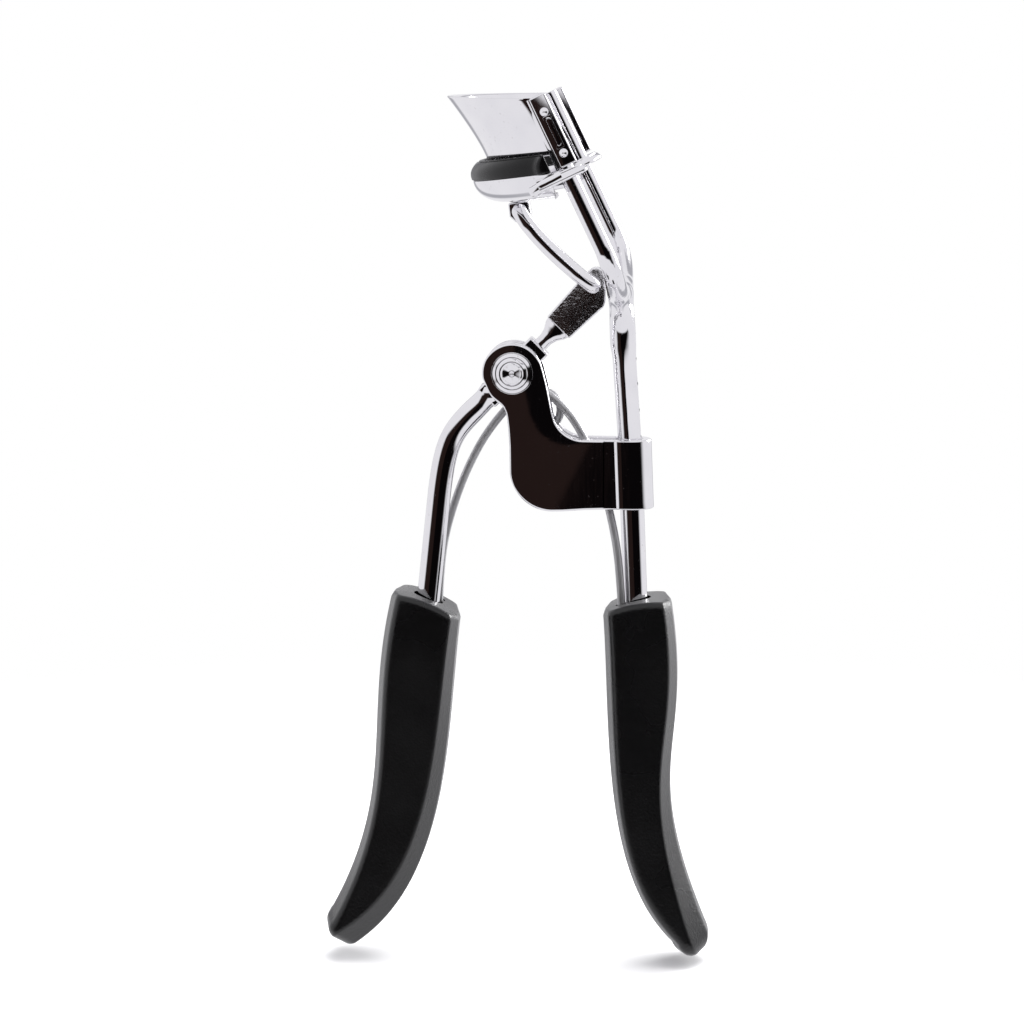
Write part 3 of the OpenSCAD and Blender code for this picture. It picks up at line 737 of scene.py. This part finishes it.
def moulded_black():
    """Moulded ABS: black, semi-matt, with a spark-eroded grain about 0.15 mm across, drawn at
    0.22 mm to show, that glints where it meets the light; slightly paler where hands rub it."""
    made, tree = new_material("moulded ABS, eroded grain")
    spot = add(tree, "ShaderNodeTexCoord").outputs["Object"]
    cells = add(tree, "ShaderNodeTexVoronoi", {"feature": "SMOOTH_F1"}, Vector=spot,
                Scale=1 / (0.34 * MM), Smoothness=0.5)
    fine = add(tree, "ShaderNodeTexNoise", Vector=spot, Scale=1 / (0.2 * MM), Detail=3.0,
               Roughness=0.65)
    worn = add(tree, "ShaderNodeTexNoise", Vector=spot, Scale=1 / (9 * MM), Detail=2.0)
    grain = add(tree, "ShaderNodeMath", {"operation": "MULTIPLY_ADD"}, _0=cells.outputs[0],
                _1=0.8, _2=fine.outputs[0])
    bump = add(tree, "ShaderNodeBump", Height=grain.outputs[0], Distance=0.05 * MM, Strength=0.5)
    rough = add(tree, "ShaderNodeMapRange", _0=worn.outputs[0], _1=0.35, _2=0.7, _3=0.25, _4=0.33)
    tone = add(tree, "ShaderNodeMix", {"data_type": "RGBA"},
               _0=product(tree, fine.outputs[0], worn.outputs[0]),
               _6=linear("040405"), _7=linear("0D0D0F"))
    shader = coated(tree, tone.outputs[2], rough.outputs[0], bump.outputs[0], IOR=1.53)
    shader.inputs["Sheen Weight"].default_value = 0.22
    shader.inputs["Sheen Roughness"].default_value = 0.3
    return made


def grip_skin(left, right, dome, tip, slopes):
    """Grip: cross-sections carried from mouth to tip between the curves left and right. Each is an
    eight-sided outline with rounded corners: flat faces at the depth grip_half, one corner of each
    face set in by slopes (left mouth, left tip, right mouth, right tip), so that the wall leans.
    The mouth is bowed by dome and rolled in by a quarter round; the tip closes as an ellipse of
    length tip."""
    rows, roll = 72, 0.7
    a, b = bezier(left, rows), bezier(right, rows)
    axis = np.gradient((a + b) / 2, axis=0)
    axis /= np.linalg.norm(axis, axis=1, keepdims=True)
    end = b[-1] - a[-1]
    end = np.array([end[1], -end[0]]) / np.linalg.norm(end)
    lid = [(0, roll, 0.0, k, k) for k in (0.04, 0.2, 0.4, 0.6, 0.8, 0.93)]
    mouth = [(0, roll * (1 - np.sin(d)), roll * (1 - np.cos(d)), 1.0, 1.0)
             for d in np.radians([0, 22, 45, 68])]
    walls = [(row, 0.0, 0.0, 1.0, 1.0) for row in range(1, rows)]
    close = [(rows - 1, 0.0, tip * np.sin(d), np.cos(d), np.cos(d) ** 0.6)
             for d in np.radians([9, 18, 27, 36, 45, 54, 62, 70, 77, 83, 88])]
    rings = []
    for row, inset, along, size, deep in lid + mouth + walls + close:
        t = row / (rows - 1)
        l, r = a[row], b[row]
        wide = np.linalg.norm(r - l)
        across = (r - l) / wide
        lean_l = min(slopes[0] + (slopes[1] - slopes[0]) * t, 0.3 * wide)
        lean_r = min(slopes[2] + (slopes[3] - slopes[2]) * t ** 1.3, 0.6 * wide)
        w, h = wide / 2 - inset, (grip_half - inset) * deep
        belly = 0.3 * h
        lean_l, lean_r = (max(x - inset, 0.3) for x in (lean_l, lean_r))
        loop = outline_loop([(-w * size, -belly), (-(w - lean_l) * size, -h),
                             ((w - lean_r) * size, -h), (w * size, -belly), (w * size, belly),
                             ((w - lean_r) * size, h), (-(w - lean_l) * size, h),
                             (-w * size, belly)],
                            np.array([1.0, 1.3, 0.7, 1.0, 1.0, 0.7, 1.3, 1.0])
                            * (0.15 + 0.85 * size), corner=8, along=7)
        bowed = dome * (1 - (loop[:, 0] / (wide / 2)) ** 2) * max(0.0, 1 - 2.5 * t)
        way = end if row == rows - 1 else axis[row]
        place = (l + r) / 2 + loop[:, :1] * across + (along - bowed)[:, None] * way
        rings.append(np.stack([place[:, 0], loop[:, 1], place[:, 1]], -1))
    return closed_tube(np.array(rings))


def drilled(made, cutters):
    """Cuts the rod and wire holes: a boolean difference with each closed cutter, then applied."""
    for v, f in cutters:
        mesh = bpy.data.meshes.new("cutter")
        mesh.from_pydata(((np.asarray(v) + pivot) * MM).tolist(), [], f)
        tool = bpy.data.objects.new("cutter", mesh)
        bpy.context.scene.collection.objects.link(tool)
        cut = made.modifiers.new("hole", "BOOLEAN")
        cut.object, cut.operation, cut.solver = tool, "DIFFERENCE", "EXACT"
        done = bpy.data.meshes.new_from_object(
            made.evaluated_get(bpy.context.evaluated_depsgraph_get()))
        made.modifiers.clear()
        made.data = done
        bpy.data.objects.remove(tool)
    made.data.polygons.foreach_set("use_smooth", np.ones(len(made.data.polygons), bool))
    made.data.set_sharp_from_angle(angle=np.radians(50))
    return made


black_abs = moulded_black()
stem_grip = piece("stem_grip", [grip_skin(
    [[11.3, -29.8], [12.4, -43.2], [10.8, -63.3], [20.2, -72.2]],
    [[19.7, -28.2], [23.1, -48.5], [15.3, -48.1], [24.6, -70.5]],
    0.6, 2.6, (0.9, 1.1, 0.8, 2.2))], black_abs, "frame", ["stem_grip"], sharp=50)
lever_grip = piece("lever_grip", [grip_skin(
    [[-15.1, -27.6], [-19.2, -44.3], [-14.4, -52.8], [-23.3, -69.1]],
    [[-6.7, -30.7], [-8.6, -44.9], [-7.5, -64.4], [-20.0, -73.3]],
    0.7, 1.7, (1.0, 1.3, 0.9, 2.9))], black_abs, "lever", ["lever_grip"], sharp=50)
stem_way = (stem_bend - stem_foot) / np.linalg.norm(stem_bend - stem_foot)
arm_way = (arm_path[8] - arm_path[0]) / np.linalg.norm(arm_path[8] - arm_path[0])
stem_mouth = stem_foot + stem_way * (-29.0 - stem_foot[2]) / stem_way[2]
arm_mouth = arm_path[0] + arm_way * (-29.2 - arm_path[0][2]) / arm_way[2]
stem_hole_r, arm_hole_r, wire_hole_r, hole_depth = 1.95, 1.9, 0.75, 6
stem_hole = [stem_mouth + way * stem_way for way in (-hole_depth, 0, hole_depth)]
arm_hole = [arm_mouth + way * arm_way for way in (-hole_depth, 0, hole_depth)]
right_wire = [(13.8, -1.4, -36.5), (13.7, -1.4, -31), (13.5, -1.4, -26), (13.4, -1.4, -24)]
left_wire = [(-9.75, 1.8, -36.5), (-9.6, 1.8, -31), (-9.35, 1.8, -26), (-9.2, 1.8, -24)]
drilled(stem_grip, [rod(stem_hole, stem_hole_r, 48, 0.1), rod(right_wire, wire_hole_r, 24, 0.1)])
drilled(lever_grip, [rod(arm_hole, arm_hole_r, 48, 0.1), rod(left_wire, wire_hole_r, 24, 0.1)])

# ---------------------------------------------------------------------------
# Lower jaw: bowed pan pressed from 0.5 mm steel with a rolled outer edge, a lug
# under it for the link, and at each end an eye that hooks round the rail.
# ---------------------------------------------------------------------------
pan_axis, pan_r, pan_half, pan_back = 6.9, 19.3, 17.25, -1.62


def jaw_pan():
    """Channel carried round pan_axis: its outer edge is a quarter ellipse 4 mm wide and 3 mm deep
    rolled down to the floor, which runs inwards to radius 13.4; 0.5 mm thick, lips rounded."""
    a = np.radians(np.linspace(0, 90, 17))
    roll_w, roll_h, sheet, foot = 4.0, 3.0, 0.5, -0.2
    outer = np.stack([pan_r - roll_w + roll_w * np.cos(a), foot - roll_h * np.sin(a)], -1)
    inner = np.stack([pan_r - roll_w + (roll_w - sheet) * np.cos(a[::-1]),
                      foot - (roll_h - sheet) * np.sin(a[::-1])], -1)
    lip = np.array([(13.6, -3.2), (13.46, -3.12), (13.4, -2.95), (13.46, -2.78), (13.6, -2.7)])
    rim = np.array([(pan_r - 0.45, -0.12), (pan_r - 0.25, -0.05), (pan_r - 0.05, -0.12)])
    loop = np.vstack([outer, lip, inner, rim])[::-1]
    y = np.linspace(-pan_half, pan_half, 97)[:, None]
    radius = np.broadcast_to(loop[:, 0], (97, len(loop)))
    x = pan_axis - np.sqrt(np.maximum(radius ** 2 - y ** 2, 0))
    x = np.minimum(x, pan_back)
    z = np.broadcast_to(loop[:, 1], x.shape)
    v, f = closed_tube(turned(np.stack([x, np.broadcast_to(y, x.shape), z], -1), tilt))
    return v, [face[::-1] for face in f]


jaw_chrome = chrome("bright chrome on pressed pan", mottle=0.05, shade=0.06, seed=2.9)
piece("jaw_pan", [jaw_pan()], jaw_chrome, "lower_jaw", ["jaw_pan"], sharp=50)


def guide_eye(sign):
    """Eye: a band that passes round the rail and the side plate, with a rolled front, joined to the
    pan by a rounded strap. Its section is 0.67 mm thick at the foot, and its outer face draws in by
    0.47 v^2 at the height fraction v; the section is carried along the plan line."""
    plan = smooth_path(np.array([(-3.6, 17.75, 0), (-2.2, 17.85, 0), (-0.9, 17.95, 0),
                                 (0.4, 17.97, 0), (1.5, 17.97, 0), (2.05, 17.8, 0),
                                 (2.2, 17.2, 0), (2.15, 16.3, 0), (1.6, 14.9, 0),
                                 (0.9, 13.95, 0), (0, 13.72, 0), (-0.8, 13.9, 0),
                                 (-1.3, 14.5, 0)]), 8)[:, :2]
    ahead = np.gradient(plan, axis=0)
    outwards = np.stack([-ahead[:, 1], ahead[:, 0]], -1)
    outwards /= np.linalg.norm(outwards, axis=1, keepdims=True)
    band_w, band_t, draw_in, inside, band_low = 0.68, 0.67, 0.47, 0.31, -1.15
    u, v, w = round_strip(band_w, 0.33, along=6)
    out = u / band_w * (band_t - draw_in * np.clip(v, 0, 1) ** 2) - inside
    mid = plan[:, None] + outwards[:, None] * out[None, :, None]
    tall = np.interp(np.arange(len(plan)), [0, 14, 34, len(plan) - 1], [1.5, 1.25, 1.15, 1.1])
    z = band_low + tall[:, None] * v + w
    ring = np.stack([mid[..., 0], mid[..., 1], z], -1)
    verts, faces = closed_tube(ring)
    strap = rod(smooth_path([(-4.6, 16.7, -0.75), (-3.9, 17.15, -0.7), (-3.0, 17.42, -0.55),
                             (-2.2, 17.5, -0.48), (-1.4, 17.52, -0.45), (-0.42, 17.55, -0.4)], 8),
                0.72, 32, 0.5)
    made = []
    for v3, f3 in ((verts, [face[::-1] for face in faces]), strap):
        v3 = np.asarray(v3) * [1, sign, 1]
        made.append((turned(v3, lean), f3 if sign > 0 else [face[::-1] for face in f3]))
    return made


for sign, hand in both_sides:
    piece("guide_eye_" + hand, guide_eye(sign), jaw_chrome, "lower_jaw", ["guide_eye_" + hand],
          sharp=50)

lug_loop = outline_loop([(-8.6, -3.5), (-8.65, -5.2), (-8.0, -6.0), (-6.6, -6.0), (-5.95, -5.2),
                         (-6.0, -3.5)], 0.4)
lug_v, lug_f = slab(lug_loop, -1.0, 1.0, 0.25)
piece("jaw_lug", [(turned(lug_v, tilt), lug_f)], jaw_chrome, "lower_jaw", ["jaw_lug"],
      sharp=50)

# ---------------------------------------------------------------------------
# Pad: moulded silicone strip, satin black, pushed onto the rim of the pan. Its outer
# face bulges and its upper edge is rounded where the lashes are pressed.
# ---------------------------------------------------------------------------


def satin_silicone():
    """Moulded silicone: satin black with a soft sheen, a faint matt bloom in patches 3 mm across
    and dust-fine grain 0.1 mm wide, drawn at 0.18 mm to show."""
    made, tree = new_material("moulded silicone")
    spot = add(tree, "ShaderNodeTexCoord").outputs["Object"]
    bloom = add(tree, "ShaderNodeTexNoise", Vector=spot, Scale=1 / (3 * MM), Detail=2.0)
    fine = add(tree, "ShaderNodeTexNoise", Vector=spot, Scale=1 / (0.18 * MM), Detail=2.0)
    rough = add(tree, "ShaderNodeMapRange", _0=bloom.outputs[0], _1=0.3, _2=0.7, _3=0.24, _4=0.33)
    bump = add(tree, "ShaderNodeBump", Height=fine.outputs[0], Distance=0.01 * MM, Strength=0.4)
    tone = add(tree, "ShaderNodeMix", {"data_type": "RGBA"}, _0=bloom.outputs[0],
               _6=linear("060506"), _7=linear("0E0D0F"))
    shader = coated(tree, tone.outputs[2], rough.outputs[0], bump.outputs[0], IOR=1.41)
    shader.inputs["Specular IOR Level"].default_value = 0.35
    return made


def pad_skin():
    """Bowed strip: at each depth Y a section stands on the inner wall, radius 19.9 about x = 10,
    and its outer wall, at the foot 2.1 mm further out in the middle and 1.6 mm at the ends, comes
    in towards a thin top edge as the height v to the power 2.4; corners rounded, ends closed in."""
    u, v, w = round_strip(1.0, 0.22, along=14, corner=8)
    turn = np.radians(np.linspace(0, 90, 12))
    end_r, inner_x, inner_r = 0.9, 10, 19.9
    span = pan_half - end_r
    y = np.concatenate([-span - end_r * np.cos(turn), np.linspace(-span, span, 62)[1:-1],
                        span + end_r * np.sin(turn)])
    close = np.concatenate([np.sin(turn), np.ones(60), np.cos(turn)])[:, None]
    yy = y[:, None]
    inner = np.minimum(inner_x - np.sqrt(inner_r ** 2 - yy ** 2), pan_back)
    end_t, belly_t, foot, height = 1.6, 0.5, -0.15, 2.35
    thick = (end_t + belly_t * (1 - (yy / pan_half) ** 2)) * (0.25 + 0.75 * close)
    reach = thick * (0.16 + 0.84 * (1 - np.clip(v, 0, 1) ** 2.4))
    x = inner - (1 - u) * reach
    rise = 0.35 * (1 - close)
    zt = foot + rise + (height - 1.6 * rise) * v + w
    z = (zt - x * np.sin(lean - tilt)) / np.cos(lean - tilt)
    verts, faces = closed_tube(turned(np.stack([x, np.broadcast_to(yy, x.shape), z], -1), lean))
    return verts, [face[::-1] for face in faces]


pad = piece("pad", [pad_skin()], satin_silicone(), "lower_jaw", ["pad"], sharp=50)

# ---------------------------------------------------------------------------
# Link: 1.9 mm steel wire bowed from the lug down to the paddle, both ends bent
# square and run through their holes, polished and chrome plated.
# ---------------------------------------------------------------------------
link_top, link_foot = turned([-7.3, 0, -4.7], tilt), np.array([9.9, 0, 10.8])
fall = np.linspace(0, 1, 9)[:, None]
side_run = link_top + (link_foot - link_top) * fall + [0, -2.15, 0]
normal = np.array([-(link_foot - link_top)[2], 0, (link_foot - link_top)[0]])
normal /= np.linalg.norm(normal)
side_run = side_run - normal * 0.5 * np.sin(np.pi * fall ** 0.8)
link_path = smooth_path(np.vstack([
    link_top + [0, 1.35, 0], link_top + [0, 0.3, 0], link_top + [0.02, -1.0, 0],
    link_top + [0.1, -1.85, -0.12], side_run[1:-1], link_foot + [-0.1, -1.85, 0.12],
    link_foot + [-0.02, -1.0, 0], link_foot + [0, 0.3, 0], link_foot + [0, 1.35, 0]]), 8)
thin = np.clip((link_path[:, 1] + 1.5) / 0.5, 0, 1)
wire_r, pin_step = 0.95, 0.3
link_r = wire_r - pin_step * thin * thin * (3 - 2 * thin)
piece("link", [rod(link_path, link_r, 32, 0.2)], chrome("bright chrome on bent wire", mottle=0.05,
      shade=0.05, seed=3.3), "link", ["link"], sharp=60)
